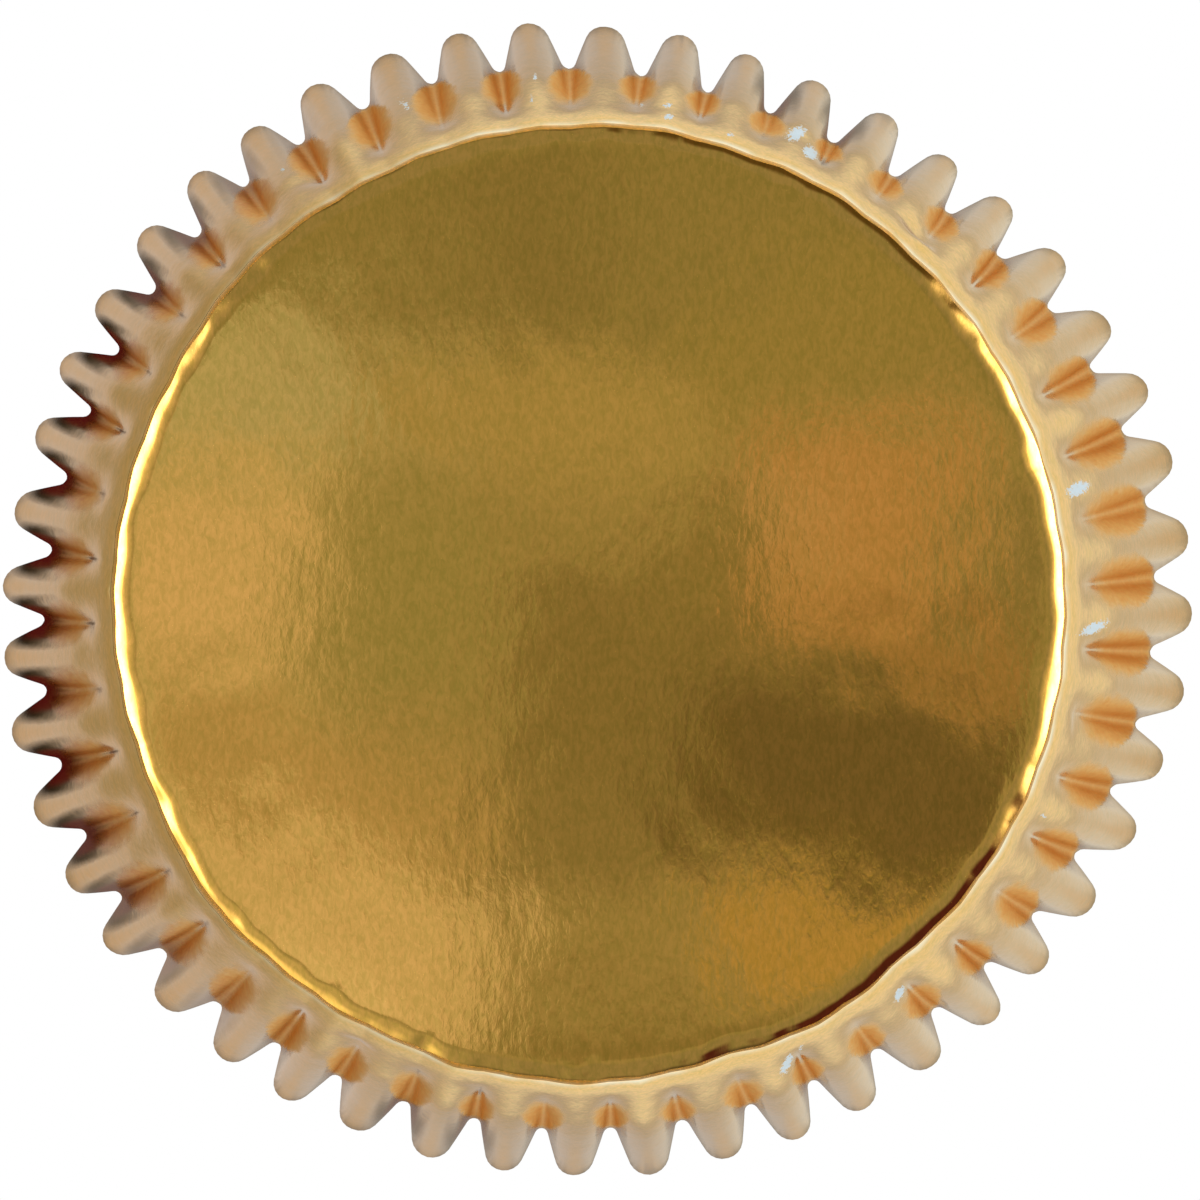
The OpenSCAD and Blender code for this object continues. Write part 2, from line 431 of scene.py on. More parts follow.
# The dies press the paper's tooth through the foil on the wall. The base stays smoother.
pressed = ramp(outer[:, 2], 0.3, 1.8)
elsewhere = np.zeros(len(points) - len(outer))
for layer_name, layer_values in (("pressed", pressed), ("from_valley", from_valley),
                                 ("rough_valley_shade", rough_valley_shade), ("painted_notch_shade", painted_notch_shade),
                                 ("fold_wear_highlight", fold_wear_highlight), ("fleck_glint", fleck_glint)):
    layer = liner_mesh.attributes.new(layer_name, "FLOAT", "POINT")
    layer.data.foreach_set("value", np.concatenate([layer_values, elsewhere]))
liner_mesh.update()
liner_mesh.validate()
liner = bpy.data.objects.new("liner_sheet", liner_mesh)
bpy.context.scene.collection.objects.link(liner)


def new_node(tree, kind, **sockets):
    """A node of a tree, with the values of its named input sockets."""
    node = tree.nodes.new(kind)
    for name, value in sockets.items():
        node.inputs[name.replace("_", " ")].default_value = value
    return node


def colour_mix(tree, **sockets):
    """A Mix node for colours, with the values of its named input sockets."""
    node = tree.nodes.new("ShaderNodeMix")
    node.data_type = "RGBA"
    for name, value in sockets.items():
        node.inputs[name].default_value = value
    return node


def math_node(tree, operation, second=0.5):
    """A Math node, with the value of its second input."""
    node = tree.nodes.new("ShaderNodeMath")
    node.operation = operation
    node.inputs[1].default_value = second
    return node


def link_all(tree, links):
    """Links of a tree, each from an output socket to an input socket."""
    for source, target in links:
        tree.links.new(source, target)


def layer_node(tree, layer_name):
    """An Attribute node that reads a layer of the mesh."""
    node = tree.nodes.new("ShaderNodeAttribute")
    node.attribute_name = layer_name
    return node


# Paper tooth: the soft lumps of the paper's fibres, which press through the foil too
tooth = bpy.data.node_groups.new("paper_tooth", "ShaderNodeTree")
tooth.interface.new_socket("Vector", in_out="INPUT", socket_type="NodeSocketVector")
tooth.interface.new_socket("Fibre scale", in_out="INPUT", socket_type="NodeSocketFloat")
tooth.interface.new_socket("Cloud scale", in_out="INPUT", socket_type="NodeSocketFloat")
tooth.interface.new_socket("Height", in_out="OUTPUT", socket_type="NodeSocketFloat")
tooth.interface.new_socket("Tone", in_out="OUTPUT", socket_type="NodeSocketFloat")
tooth.interface.new_socket("Cloud", in_out="OUTPUT", socket_type="NodeSocketFloat")
tooth_in = tooth.nodes.new("NodeGroupInput")
tooth_out = tooth.nodes.new("NodeGroupOutput")
fibre = new_node(tooth, "ShaderNodeTexNoise", Detail=3.0, Roughness=0.6, Distortion=0.6)
cloud = new_node(tooth, "ShaderNodeTexNoise", Detail=2.0, Roughness=0.5)
link_all(tooth, [
    (tooth_in.outputs["Vector"], fibre.inputs["Vector"]),
    (tooth_in.outputs["Vector"], cloud.inputs["Vector"]),
    (tooth_in.outputs["Fibre scale"], fibre.inputs["Scale"]),
    (tooth_in.outputs["Cloud scale"], cloud.inputs["Scale"])])
both = math_node(tooth, "MULTIPLY_ADD", 3.0)
link_all(tooth, [
    (cloud.outputs["Fac"], both.inputs[0]),
    (fibre.outputs["Fac"], both.inputs[2]),
    (both.outputs[0], tooth_out.inputs["Height"])])
tone = new_node(tooth, "ShaderNodeMapRange", From_Min=0.36, From_Max=0.64)
link_all(tooth, [
    (fibre.outputs["Fac"], tone.inputs["Value"]),
    (tone.outputs["Result"], tooth_out.inputs["Tone"]),
    (cloud.outputs["Fac"], tooth_out.inputs["Cloud"])])


def tooth_node(tree, fibre_scale, cloud_scale):
    """The paper's tooth in a material, at its own scales."""
    node = tree.nodes.new("ShaderNodeGroup")
    node.node_tree = tooth
    node.inputs["Fibre scale"].default_value = fibre_scale
    node.inputs["Cloud scale"].default_value = cloud_scale
    return node


# Gold foil: aluminium foil under a clear gold lacquer, satin from the paper's tooth. Small flecks
# are painted bluish white as painted glints.
foil = bpy.data.materials.new("gold_foil")
foil.use_nodes = True
foil_tree = foil.node_tree
foil_shader = foil_tree.nodes["Principled BSDF"]
foil_shader.inputs["Metallic"].default_value = 1.0
foil_shader.inputs["Specular Tint"].default_value = (0.88, 0.82, 0.74, 1)
foil_place = foil_tree.nodes.new("ShaderNodeTexCoord")
# The base shows the foil's rolling direction, the wall how the dies drew it upwards
rolled = new_node(foil_tree, "ShaderNodeMapping", Rotation=(0, 0, math.radians(-20)),
                  Scale=(1, 0.45, 1))
drawn = new_node(foil_tree, "ShaderNodeMapping", Scale=(1, 1, 0.12))
foil_tooth = tooth_node(foil_tree, 4200, 1300)
drawn_tooth = tooth_node(foil_tree, 3600, 1500)
pressed_at = layer_node(foil_tree, "pressed")
foil_bump = new_node(foil_tree, "ShaderNodeBump", Strength=1.0, Distance=0.0000015)
drawn_bump = new_node(foil_tree, "ShaderNodeBump", Distance=0.000009)
gold = colour_mix(foil_tree, A=(0.675, 0.405, 0.088, 1), B=(0.85, 0.468, 0.118, 1))
clouded = new_node(foil_tree, "ShaderNodeMapRange", To_Min=-0.45, To_Max=0.45)
blotched = math_node(foil_tree, "ADD")
satin = new_node(foil_tree, "ShaderNodeMapRange", From_Min=0.3, From_Max=0.7,
                 To_Min=0.045, To_Max=0.065)
wall_satin = new_node(foil_tree, "ShaderNodeMix", B=0.15)
# Painted glints: bluish-white flecks with a ragged edge
fleck_glint_at = layer_node(foil_tree, "fleck_glint")
fleck_noise = new_node(foil_tree, "ShaderNodeTexNoise", Scale=6000.0, Detail=3.0, Roughness=0.7)
fleck_edge = math_node(foil_tree, "MULTIPLY_ADD", 1.4)
fleck_mask = new_node(foil_tree, "ShaderNodeMapRange", From_Min=1.18, From_Max=1.38)
glint_colour = colour_mix(foil_tree, B=(0.66, 0.72, 0.73, 1))
foil_rough = new_node(foil_tree, "ShaderNodeMix", B=0.5)
# Valley patches: rough and frayed, painted orange as painted shade, less so along the valley's own
# line
rough_valley_shade_at = layer_node(foil_tree, "rough_valley_shade")
valley_at = layer_node(foil_tree, "from_valley")
painted_notch_shade_at = layer_node(foil_tree, "painted_notch_shade")
frayed = math_node(foil_tree, "MULTIPLY_ADD", 0.09)
rough_valley_shade_mask = new_node(foil_tree, "ShaderNodeMapRange", From_Min=0.10, From_Max=0.72)
rough_valley_shade_mask.interpolation_type = "SMOOTHERSTEP"
valley_line = new_node(foil_tree, "ShaderNodeMapRange", From_Min=0.02, From_Max=0.13,
                       To_Min=0.84)
valley_line.interpolation_type = "SMOOTHSTEP"
rough_valley_shade_tone = math_node(foil_tree, "MULTIPLY")
rough_valley_shade_mottle = new_node(foil_tree, "ShaderNodeMapRange", To_Min=0.5)
mottled = math_node(foil_tree, "MULTIPLY")
painted_valley_shade = colour_mix(foil_tree)
# Painted shade: A is the valley patches' orange, B their darker colour on the shaded side
shade = colour_mix(foil_tree, A=(0.70, 0.30, 0.045, 1), B=(0.50, 0.13, 0.03, 1))
rough_valley_shade_rough = foil_tree.nodes.new("ShaderNodeMix")
shaded_rough = new_node(foil_tree, "ShaderNodeMix", A=0.62, B=0.25)
# Fold: paler, as worn lacquer and a painted highlight
fold_wear_highlight_at = layer_node(foil_tree, "fold_wear_highlight")
pale_fold = colour_mix(foil_tree, B=(0.87, 0.76, 0.52, 1))
link_all(foil_tree, [
    (foil_place.outputs["Object"], rolled.inputs["Vector"]),
    (foil_place.outputs["Object"], drawn.inputs["Vector"]),
    (rolled.outputs["Vector"], foil_tooth.inputs["Vector"]),
    (drawn.outputs["Vector"], drawn_tooth.inputs["Vector"]),
    (drawn.outputs["Vector"], fleck_noise.inputs["Vector"]),
    (foil_tooth.outputs["Height"], foil_bump.inputs["Height"]),
    (pressed_at.outputs["Fac"], drawn_bump.inputs["Strength"]),
    (drawn_tooth.outputs["Height"], drawn_bump.inputs["Height"]),
    (foil_bump.outputs["Normal"], drawn_bump.inputs["Normal"]),
    (foil_tooth.outputs["Cloud"], clouded.inputs["Value"]),
    (foil_tooth.outputs["Tone"], blotched.inputs[0]),
    (clouded.outputs["Result"], blotched.inputs[1]),
    (blotched.outputs[0], gold.inputs["Factor"]),
    (foil_tooth.outputs["Cloud"], satin.inputs["Value"]),
    (fleck_noise.outputs["Fac"], fleck_edge.inputs[0]),
    (fleck_glint_at.outputs["Fac"], fleck_edge.inputs[2]),
    (fleck_edge.outputs[0], fleck_mask.inputs["Value"]),
    (fleck_mask.outputs["Result"], glint_colour.inputs["Factor"]),
    (fleck_mask.outputs["Result"], foil_rough.inputs["Factor"]),
    (drawn_tooth.outputs["Height"], frayed.inputs[0]),
    (rough_valley_shade_at.outputs["Fac"], frayed.inputs[2]),
    (frayed.outputs[0], rough_valley_shade_mask.inputs["Value"]),
    (valley_at.outputs["Fac"], valley_line.inputs["Value"]),
    (rough_valley_shade_mask.outputs["Result"], rough_valley_shade_tone.inputs[0]),
    (valley_line.outputs["Result"], rough_valley_shade_tone.inputs[1]),
    (drawn_tooth.outputs["Tone"], rough_valley_shade_mottle.inputs["Value"]),
    (rough_valley_shade_tone.outputs[0], mottled.inputs[0]),
    (rough_valley_shade_mottle.outputs["Result"], mottled.inputs[1]),
    (mottled.outputs[0], painted_valley_shade.inputs["Factor"]),
    (rough_valley_shade_tone.outputs[0], rough_valley_shade_rough.inputs["Factor"]),
    (painted_notch_shade_at.outputs["Fac"], shaded_rough.inputs["Factor"]),
    (shaded_rough.outputs["Result"], rough_valley_shade_rough.inputs["B"]),
    (fold_wear_highlight_at.outputs["Fac"], pale_fold.inputs["Factor"]),
    (gold.outputs["Result"], pale_fold.inputs["A"]),
    (pale_fold.outputs["Result"], painted_valley_shade.inputs["A"]),
    (painted_notch_shade_at.outputs["Fac"], shade.inputs["Factor"]),
    (shade.outputs["Result"], painted_valley_shade.inputs["B"]),
    (painted_valley_shade.outputs["Result"], glint_colour.inputs["A"]),
    (satin.outputs["Result"], wall_satin.inputs["A"]),
    (pressed_at.outputs["Fac"], wall_satin.inputs["Factor"]),
    (wall_satin.outputs["Result"], rough_valley_shade_rough.inputs["A"]),
    (rough_valley_shade_rough.outputs["Result"], foil_rough.inputs["A"]),
    (glint_colour.outputs["Result"], foil_shader.inputs["Base Color"]),
    (foil_rough.outputs["Result"], foil_shader.inputs["Roughness"]),
    (drawn_bump.outputs["Normal"], foil_shader.inputs["Normal"])])

# The inside and the cut rim are bare greaseproof paper: off-white, close and a little waxy
paper = bpy.data.materials.new("greaseproof_paper")
paper.use_nodes = True
paper_tree = paper.node_tree
paper_shader = paper_tree.nodes["Principled BSDF"]
paper_shader.inputs["Sheen Weight"].default_value = 0.1
paper_place = paper_tree.nodes.new("ShaderNodeTexCoord")
paper_tooth = tooth_node(paper_tree, 3400, 420)
paper_bump = new_node(paper_tree, "ShaderNodeBump", Strength=1.0, Distance=0.000012)
pulp = colour_mix(paper_tree, A=(0.76, 0.745, 0.70, 1), B=(0.85, 0.84, 0.81, 1))
waxy = new_node(paper_tree, "ShaderNodeMapRange", From_Min=0.3, From_Max=0.7,
                To_Min=0.5, To_Max=0.72)
link_all(paper_tree, [
    (paper_place.outputs["Object"], paper_tooth.inputs["Vector"]),
    (paper_tooth.outputs["Height"], paper_bump.inputs["Height"]),
    (paper_tooth.outputs["Tone"], pulp.inputs["Factor"]),
    (paper_tooth.outputs["Cloud"], waxy.inputs["Value"]),
    (pulp.outputs["Result"], paper_shader.inputs["Base Color"]),
    (waxy.outputs["Result"], paper_shader.inputs["Roughness"]),
    (paper_bump.outputs["Normal"], paper_shader.inputs["Normal"])])
liner_mesh.materials.append(foil)
liner_mesh.materials.append(paper)
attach(liner, "root")
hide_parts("liner")

# The camera looks straight up at the base. From camera_far the rim shows as far outside the
# base as in the photograph, and the photograph's scale there gives the focal length.
pixels_per_slope = 3614.0
photo_side = 1200
camera_x = 0.52
camera_y = -0.20
camera_data = bpy.data.cameras.new("camera")
camera_data.angle = 2 * math.atan(photo_side / 2 / pixels_per_slope)
camera_data.clip_start = 0.01
camera = bpy.data.objects.new("camera", camera_data)
camera.location = Vector((camera_x, camera_y, -camera_far)) * MM
camera.rotation_euler = (math.pi, 0, 0)
bpy.context.scene.collection.objects.link(camera)
bpy.context.scene.camera = camera

# A plain pale floor carries the liner. It is seen from above only, so the camera below
# looks through it, and the base mirrors the studio through it.
floor_half = 3.0
floor_mesh = bpy.data.meshes.new("floor")
floor_mesh.from_pydata([(-floor_half, -floor_half, 0), (floor_half, -floor_half, 0),
                        (floor_half, floor_half, 0), (-floor_half, floor_half, 0)],
                       [], [(0, 1, 2, 3)])
floor = bpy.data.objects.new("floor", floor_mesh)
floor.location.z = cad_low.z - 0.05 * MM
bpy.context.scene.collection.objects.link(floor)
floor_paint = bpy.data.materials.new("pale_floor")
floor_paint.use_nodes = True
floor_tree = floor_paint.node_tree
floor_shader = floor_tree.nodes["Principled BSDF"]
floor_shader.inputs["Base Color"].default_value = (0.80, 0.80, 0.79, 1)
floor_shader.inputs["Roughness"].default_value = 0.8
floor_end = floor_tree.nodes["Material Output"]
see_through = floor_tree.nodes.new("ShaderNodeBsdfTransparent")
floor_mix = floor_tree.nodes.new("ShaderNodeMixShader")
floor_side = floor_tree.nodes.new("ShaderNodeNewGeometry")
floor_path = floor_tree.nodes.new("ShaderNodeLightPath")
floor_place = floor_tree.nodes.new("ShaderNodeTexCoord")
floor_far = floor_tree.nodes.new("ShaderNodeVectorMath")
floor_far.operation = "LENGTH"
past_base = 0.3
under = math_node(floor_tree, "LESS_THAN", (base_r + past_base) * MM)
mirrored = math_node(floor_tree, "MULTIPLY")
either = math_node(floor_tree, "MAXIMUM")
link_all(floor_tree, [
    (floor_place.outputs["Object"], floor_far.inputs[0]),
    (floor_far.outputs["Value"], under.inputs[0]),
    (under.outputs[0], mirrored.inputs[0]),
    (floor_path.outputs["Is Glossy Ray"], mirrored.inputs[1]),
    (floor_side.outputs["Backfacing"], either.inputs[0]),
    (mirrored.outputs[0], either.inputs[1]),
    (either.outputs[0], floor_mix.inputs["Fac"]),
    (floor_shader.outputs["BSDF"], floor_mix.inputs[1]),
    (see_through.outputs["BSDF"], floor_mix.inputs[2]),
    (floor_mix.outputs["Shader"], floor_end.inputs["Surface"])])
floor_mesh.materials.append(floor_paint)

# The world is white to the camera and in the foil, and softer where it lights paper
world = bpy.data.worlds.new("studio")
world.use_nodes = True
bpy.context.scene.world = world
world.cycles.sampling_method = "NONE"
world_tree = world.node_tree
sky = world_tree.nodes["Background"]
sky.inputs["Color"].default_value = (1, 1, 1, 1)
sky_path = world_tree.nodes.new("ShaderNodeLightPath")
bright = math_node(world_tree, "MAXIMUM")
bright_too = math_node(world_tree, "MAXIMUM")
sky_strength = new_node(world_tree, "ShaderNodeMapRange", To_Min=0.62, To_Max=1.0)
link_all(world_tree, [
    (sky_path.outputs["Is Camera Ray"], bright.inputs[0]),
    (sky_path.outputs["Is Glossy Ray"], bright.inputs[1]),
    (bright.outputs[0], bright_too.inputs[0]),
    (sky_path.outputs["Is Transmission Ray"], bright_too.inputs[1]),
    (bright_too.outputs[0], sky_strength.inputs["Value"]),
    (sky_strength.outputs["Result"], sky.inputs["Strength"])])

# Two soft lamps over the floor light the paper and lay the liner's shadow. The foil
# doesn't mirror them: it has the tent below.
for lamp_name, lamp_at, lamp_side, lamp_watts in [
        ("key_lamp", (0.45, -0.35, 0.75), 0.5, 5.0),
        ("fill_lamp", (-0.55, 0.10, 0.60), 0.6, 2.0)]:
    lamp_data = bpy.data.lights.new(lamp_name, "AREA")
    lamp_data.size = lamp_side
    lamp_data.energy = lamp_watts
    lamp = bpy.data.objects.new(lamp_name, lamp_data)
    lamp.location = lamp_at
    lamp.rotation_euler = (-Vector(lamp_at)).to_track_quat("-Z", "Y").to_euler()
    lamp.visible_glossy = False
    bpy.context.scene.collection.objects.link(lamp)


def only_mirrored(staged):
    """Nothing but a mirroring surface sees this, and it throws no shadow."""
    staged.visible_camera = False
    staged.visible_diffuse = False
    staged.visible_transmission = False
    staged.visible_shadow = False


# A tent of light stands round the set. Only the foil mirrors it. Its floor is what the flat
# base shows, its sides what the curled edge shows and its roof what the wall shows.
tent_r = 0.9
tent_mesh = bpy.data.meshes.new("light_tent")
tent_rings, tent_sides = 24, 48
tent_points = []
for row in range(tent_rings + 1):
    down = math.pi * row / tent_rings
    for column in range(tent_sides):
        turn = 2 * math.pi * column / tent_sides
        tent_points.append((tent_r * math.sin(down) * math.cos(turn),
                            tent_r * math.sin(down) * math.sin(turn),
                            tent_r * math.cos(down)))
tent_faces = []
for row in range(tent_rings):
    for column in range(tent_sides):
        beside = (column + 1) % tent_sides
        tent_faces.append((row * tent_sides + column, (row + 1) * tent_sides + column,
                           (row + 1) * tent_sides + beside, row * tent_sides + beside))
tent_mesh.from_pydata(tent_points, [], tent_faces)
tent = bpy.data.objects.new("light_tent", tent_mesh)
bpy.context.scene.collection.objects.link(tent)
only_mirrored(tent)
tent_cloth = bpy.data.materials.new("tent_cloth")
tent_cloth.use_nodes = True
tent_cloth.cycles.emission_sampling = "NONE"
tent_mesh.materials.append(tent_cloth)
tent_tree = tent_cloth.node_tree
tent_tree.nodes.clear()


def tent_math(operation, first, second=0.0, third=0.0):
    """A Math node of the tent's cloth over numbers or the outputs of other nodes."""
    node = tent_tree.nodes.new("ShaderNodeMath")
    node.operation = operation
    for socket, value in zip(node.inputs, (first, second, third)):
        if isinstance(value, (int, float)):
            socket.default_value = value
        else:
            tent_tree.links.new(value, socket)
    return node.outputs[0]


def smooth_step(value, low, high):
    """Smoothly from 0 at low to 1 at high. Low may be the larger, and then it falls."""
    node = tent_tree.nodes.new("ShaderNodeMapRange")
    node.interpolation_type = "SMOOTHSTEP"
    node.inputs["From Min"].default_value = min(low, high)
    node.inputs["From Max"].default_value = max(low, high)
    node.inputs["To Min"].default_value = 0.0 if low < high else 1.0
    node.inputs["To Max"].default_value = 1.0 if low < high else 0.0
    tent_tree.links.new(value, node.inputs["Value"])
    return node.outputs["Result"]


def mixed(mask, below, above):
    """A colour that turns from one to another by a mask."""
    node = tent_tree.nodes.new("ShaderNodeMix")
    node.data_type = "RGBA"
    node.clamp_factor = False
    tent_tree.links.new(mask, node.inputs["Factor"])
    for socket, colour in ((node.inputs["A"], below), (node.inputs["B"], above)):
        if isinstance(colour, tuple):
            socket.default_value = colour + (1,)
        else:
            tent_tree.links.new(colour, socket)
    return node.outputs["Result"]


tent_place = tent_tree.nodes.new("ShaderNodeTexCoord")
shown = tent_tree.nodes.new("ShaderNodeMapping")
mirror_scale = 1 + tent_r / MM / camera_far
shown.inputs["Scale"].default_value = (1 / mirror_scale / MM, 1 / mirror_scale / MM, 0)
tent_tree.links.new(tent_place.outputs["Object"], shown.inputs["Vector"])
waver = new_node(tent_tree, "ShaderNodeTexNoise", Scale=0.35, Detail=5.0, Roughness=0.7)
tent_tree.links.new(shown.outputs["Vector"], waver.inputs["Vector"])
waver_size = 1.6
wavered = tent_tree.nodes.new("ShaderNodeVectorMath")
wavered.operation = "MULTIPLY_ADD"
wavered.inputs[1].default_value = (waver_size, waver_size, 0)
link_all(tent_tree, [
    (waver.outputs["Color"], wavered.inputs[0]),
    (shown.outputs["Vector"], wavered.inputs[2])])

# Each panel as the base shows it, in millimetres right of and below the base's middle:
# its middle, half its width and height, its turn, the blur of its sides, and its colour
panels = [(0.0, -22.9, 34.0, 10.8, 5, 2.4, (0.335, 0.36, 0.255)),
          (-3.6, -18.5, 4.0, 5.0, 0, 5.0, (0.295, 0.310, 0.215)),
          (12.5, -14.0, 8.0, 3.5, -20, 5.0, (0.375, 0.395, 0.26)),
          (-23.0, 4.0, 9.5, 17.0, 0, 6.0, (0.63, 0.66, 0.60)),
          (-16.5, -10.8, 10.0, 3.2, 4, 4.0, (0.54, 0.63, 0.64)),
          (-20.5, -11.8, 3.4, 2.4, 0, 5.0, (0.58, 0.68, 0.68)),
          (-3.0, -9.5, 9.0, 3.0, 8, 3.5, (0.475, 0.485, 0.36)),
          (-20.2, -0.9, 4.2, 4.0, 0, 4.0, (0.76, 0.73, 0.72)),
          (-10.2, -0.4, 4.0, 5.5, 12, 5.0, (0.385, 0.43, 0.31)),
          (-14.0, 9.6, 9.0, 3.0, 24, 5.0, (0.53, 0.50, 0.40)),
          (-14.7, 18.3, 9.2, 6.4, 24, 1.2, (0.74, 0.74, 0.72)),
          (-13.5, 19.5, 4.0, 2.4, 30, 4.0, (0.86, 0.88, 0.92)),
          (9.0, 5.9, 13.6, 7.4, 3, 1.0, (0.290, 0.292, 0.20)),
          (5.6, -2.2, 3.6, 2.6, -30, 2.0, (0.315, 0.32, 0.215)),
          (13.4, 9.3, 8.8, 4.3, 8, 3.4, (0.195, 0.185, 0.125)),
          (13.2, -3.6, 4.3, 5.4, 0, 1.4, (0.555, 0.435, 0.325)),
          (10.4, -4.2, 1.4, 2.2, 0, 1.4, (0.60, 0.50, 0.43)),
          (16.2, 2.9, 4.2, 1.5, 30, 1.2, (0.42, 0.335, 0.23)),
          (21.2, -3.0, 1.9, 3.2, 0, 1.8, (0.30, 0.315, 0.235)),
          (23.0, 4.0, 2.2, 4.0, 0, 2.5, (0.36, 0.385, 0.27)),
          (11.6, 16.6, 5.0, 2.2, 3, 1.1, (0.55, 0.47, 0.255)),
          (-1.4, 12.2, 4.6, 3.2, 0, 3.0, (0.31, 0.315, 0.225)),
          (3.2, 22.4, 7.0, 2.6, 4, 1.6, (0.305, 0.305, 0.20))]
light = (0.407, 0.421, 0.316)
for at_x, at_y, half_w, half_h, turn, blur, colour in panels:
    panel_place = tent_tree.nodes.new("ShaderNodeMapping")
    panel_place.vector_type = "TEXTURE"
    panel_place.inputs["Location"].default_value = (at_x + waver_size / 2,
                                                    at_y + waver_size / 2, 0)
    panel_place.inputs["Rotation"].default_value = (0, 0, math.radians(turn))
    panel_split = tent_tree.nodes.new("ShaderNodeSeparateXYZ")
    tent_tree.links.new(wavered.outputs["Vector"], panel_place.inputs["Vector"])
    tent_tree.links.new(panel_place.outputs["Vector"], panel_split.inputs[0])
    in_panel = [smooth_step(tent_math("ABSOLUTE", panel_split.outputs[axis]),
                            half + blur / 2, half - blur / 2)
                for axis, half in (("X", half_w), ("Y", half_h))]
    light = mixed(tent_math("MULTIPLY", *in_panel), light, colour)

# Round the tent hang lights and dark cloths: the direction as the photograph shows it, how
# far each reaches to both sides and how softly it ends there, the two angles from straight
# down between which it hangs and how softly it starts there, and its colour
tent_split = tent_tree.nodes.new("ShaderNodeSeparateXYZ")
tent_tree.links.new(tent_place.outputs["Object"], tent_split.inputs[0])
tent_x, tent_y, tent_z = (tent_split.outputs[axis] for axis in ("X", "Y", "Z"))
from_axis = tent_math("SQRT", tent_math("MULTIPLY_ADD", tent_x, tent_x,
                                        tent_math("MULTIPLY", tent_y, tent_y)))
from_down = tent_math("DEGREES", tent_math("ARCTAN2", from_axis,
                                           tent_math("MULTIPLY", tent_z, -1.0)))
heading = tent_math("DEGREES", tent_math("ARCTAN2", tent_math("MULTIPLY", tent_y, -1.0),
                                         tent_x))
# Past the panels the cloth itself shows
cloth = (0.36, 0.38, 0.32)
light = mixed(smooth_step(from_down, 10, 16), light, cloth)
hangings = [(0, 180, 0, 72, 90, 10, (3.2, 3.4, 3.8)),
            (0, 180, 0, 90, 102, 8, (1.7, 1.75, 1.8)),
            (0, 180, 0, 98, 146, 26, (1.06, 1.20, 1.35)),
            (90, 66, 8, 58, 74, 18, (0.10, 0.10, 0.08)),
            (270, 40, 8, 58, 74, 18, (0.12, 0.12, 0.10)),
            (60, 24, 6, 40, 78, 16, (0.13, 0.10, 0.05)),
            (312, 24, 8, 34, 78, 16, (0.10, 0.03, 0.04)),
            (184, 36, 14, 15, 76, 12, (0.72, 0.70, 0.60)),
            (222, 30, 12, 15, 76, 12, (0.68, 0.70, 0.58)),
            (184, 32, 14, 27, 76, 16, (1.3, 1.25, 1.0)),
            (6, 27, 14, 24, 76, 22, (1.2, 1.15, 0.9)),
            (184, 29, 12, 38, 76, 20, (9, 9, 9)),
            (6, 24, 12, 38, 76, 20, (9, 9, 9)),
            (222, 20, 10, 40, 76, 20, (1.5, 1.5, 1.2)),
            (180, 62, 30, 90, 112, 10, (0.20, 0.18, 0.14)),
            (180, 62, 30, 112, 149, 14, (0.50, 0.49, 0.42)),
            (0, 180, 0, 148, 166, 14, (0.60, 0.60, 0.60)),
            (0, 180, 0, 166, 181, 8, (0.44, 0.44, 0.44)),
            (180, 62, 30, 147, 166, 8, (0.69, 0.65, 0.62)),
            (0, 62, 30, 148, 166, 14, (0.82, 0.84, 0.76))]
for toward, reach, side_blur, nearest, farthest, blur, colour in hangings:
    starts_at = smooth_step(from_down, nearest - blur / 2, nearest + blur / 2)
    ends_at = smooth_step(from_down, farthest + blur / 4, farthest - blur / 4)
    mask = tent_math("MULTIPLY", starts_at, ends_at)
    if reach < 180:
        aside = tent_math("ABSOLUTE", tent_math("WRAP", tent_math("SUBTRACT", heading, toward),
                                                180.0, -180.0))
        side_mask = smooth_step(aside, reach + side_blur, reach - side_blur)
        mask = tent_math("MULTIPLY", mask, side_mask)
    light = mixed(mask, light, colour)
tent_glow = tent_tree.nodes.new("ShaderNodeEmission")
tent_end = tent_tree.nodes.new("ShaderNodeOutputMaterial")
link_all(tent_tree, [
    (light, tent_glow.inputs["Color"]),
    (tent_glow.outputs[0], tent_end.inputs["Surface"])])

# Just over the rim lies a dark card with a finger over each notch on the left. Only the foil
# mirrors it: it gives the left notches the shadow that the table lays there.
rim_ring = wall[-1]
rim_turn = np.arctan2(rim_ring[:, 1], rim_ring[:, 0])
rim_degrees = np.degrees(rim_turn)
rim_radius = np.hypot(rim_ring[:, 0], rim_ring[:, 1])
darkness = ramp(np.cos(rim_turn - shade_at), 0.55, 0.90)
# Four more notches are dark too: their directions, and how dark they are
notch_half = 2.5
for toward, strength in ((103, 0.5), (110.5, 0.6), (290, 0.6), (297, 0.6)):
    aside = (rim_degrees - toward + 180) % 360 - 180
    darkness = np.maximum(darkness, strength * np.exp(-(aside / notch_half) ** 2))
on_crest = ramp(in_valley, 0.625, 0)
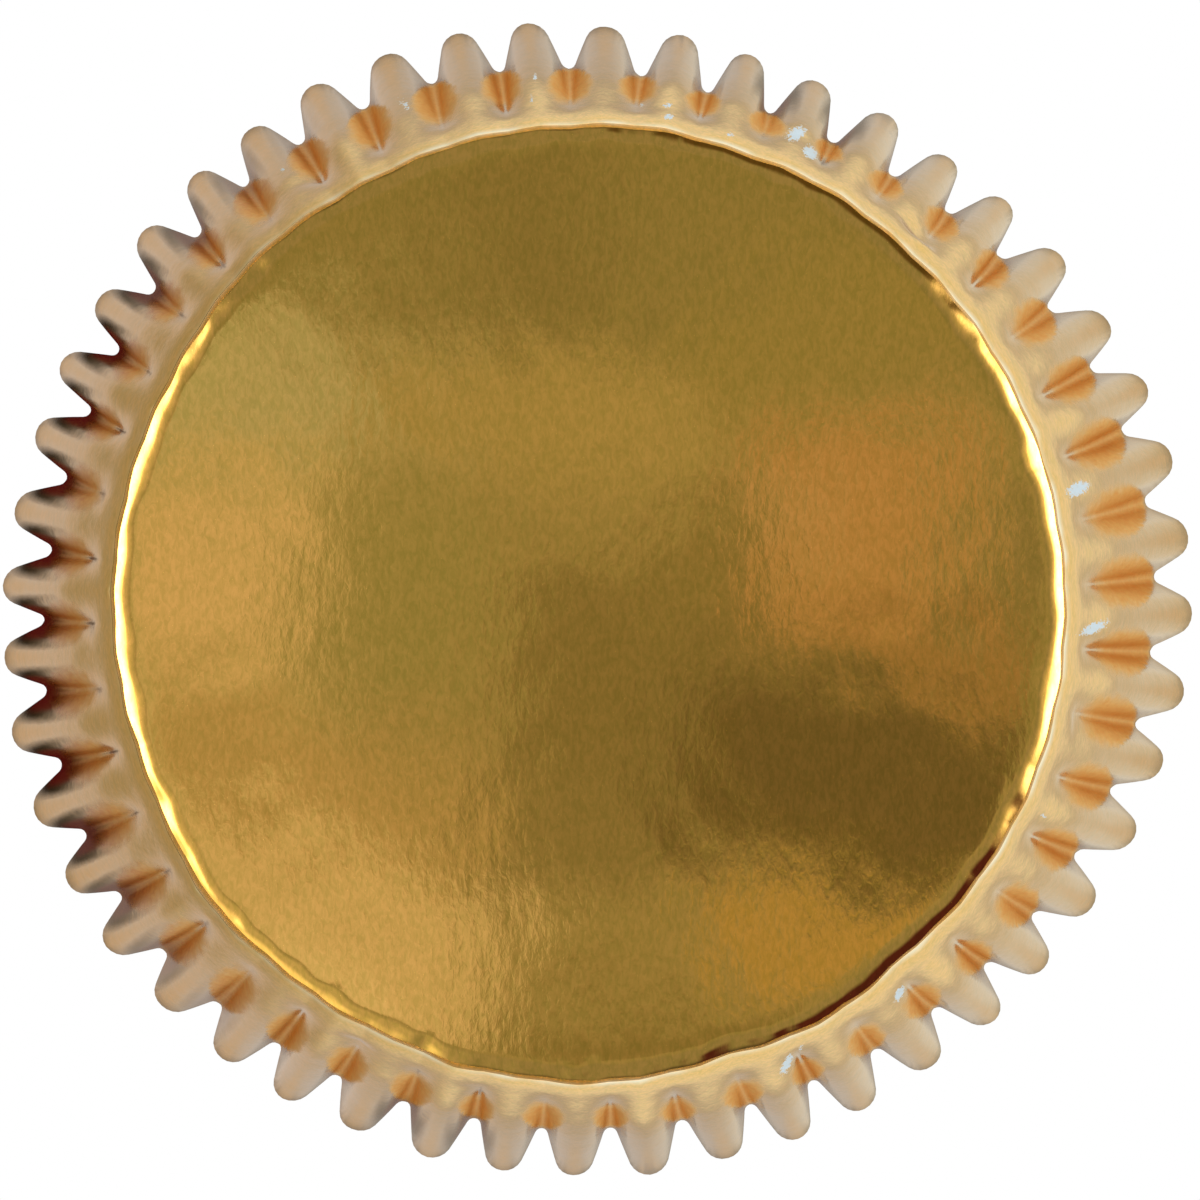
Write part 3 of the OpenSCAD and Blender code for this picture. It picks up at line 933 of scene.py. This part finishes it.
# The card reaches this far to both sides of the rim's crests. A faint dark line follows the
# rim, and a warm glow lies just outside the crests.
card_gap = 0.15
card_reach = np.linspace(-4.0, 4.0, 17)
finger_blur = 1.4
rim_line, rim_line_half = 0.5, 0.4
crest_glow, glow_reach = 0.4, 1.2
black, crimson, tan = (0.018, 0.014, 0.010), (0.085, 0.008, 0.008), (0.75, 0.58, 0.34)
card_points, card_cover, card_colours = [], [], []
for reach in card_reach:
    card_r = rim_crest_r + spread(rim_degrees) + reach
    card_points.append(np.stack([card_r * np.cos(rim_turn), card_r * np.sin(rim_turn),
                                 np.full(columns, cup_h + card_gap)], 1))
    finger_end = 3.0 * in_valley ** 1.3 - 1.5
    finger = darkness * ramp(reach, finger_end + finger_blur, finger_end - finger_blur)
    on_line = np.exp(-((card_r - rim_radius) / rim_line_half) ** 2)
    finger = np.maximum(finger, rim_line * on_line)
    warm = crest_glow * on_crest * math.exp(-(reach - glow_reach) ** 2)
    red = ramp(in_valley, 0.6, 0.85) * ramp(reach, -0.8, -1.4)
    card_cover.append(np.maximum(finger, warm))
    dark_colour = np.outer(1 - red, black) + np.outer(red, crimson)
    is_warm = (warm > finger)[:, None]
    card_colours.append(np.where(is_warm, np.array(tan), dark_colour))
card_faces = []
for row in range(len(card_reach) - 1):
    for column in range(columns):
        beside = (column + 1) % columns
        card_faces.append((row * columns + column, row * columns + beside,
                           (row + 1) * columns + beside, (row + 1) * columns + column))
card_mesh = bpy.data.meshes.new("notch_card")
card_mesh.from_pydata((np.concatenate(card_points) * MM).tolist(), [], card_faces)
cover_layer = card_mesh.attributes.new("cover", "FLOAT", "POINT")
cover_layer.data.foreach_set("value", np.concatenate(card_cover))
colour_layer = card_mesh.attributes.new("shown", "FLOAT_COLOR", "POINT")
card_rgba = np.concatenate([np.concatenate(card_colours),
                            np.ones((len(card_reach) * columns, 1))], 1)
colour_layer.data.foreach_set("color", card_rgba.ravel())
card = bpy.data.objects.new("notch_card", card_mesh)
bpy.context.scene.collection.objects.link(card)
only_mirrored(card)
card_paint = bpy.data.materials.new("card_paint")
card_paint.use_nodes = True
card_paint.cycles.emission_sampling = "NONE"
card_mesh.materials.append(card_paint)
card_tree = card_paint.node_tree
card_tree.nodes.clear()
card_cover_at = layer_node(card_tree, "cover")
card_shown = layer_node(card_tree, "shown")
card_clear = card_tree.nodes.new("ShaderNodeBsdfTransparent")
card_glow = card_tree.nodes.new("ShaderNodeEmission")
card_mix = card_tree.nodes.new("ShaderNodeMixShader")
card_end = card_tree.nodes.new("ShaderNodeOutputMaterial")
link_all(card_tree, [
    (card_shown.outputs["Color"], card_glow.inputs["Color"]),
    (card_cover_at.outputs["Fac"], card_mix.inputs["Fac"]),
    (card_clear.outputs["BSDF"], card_mix.inputs[1]),
    (card_glow.outputs["Emission"], card_mix.inputs[2]),
    (card_mix.outputs["Shader"], card_end.inputs["Surface"])])

# The plain view transform keeps colours as they are written
bpy.context.scene.view_settings.view_transform = "Standard"
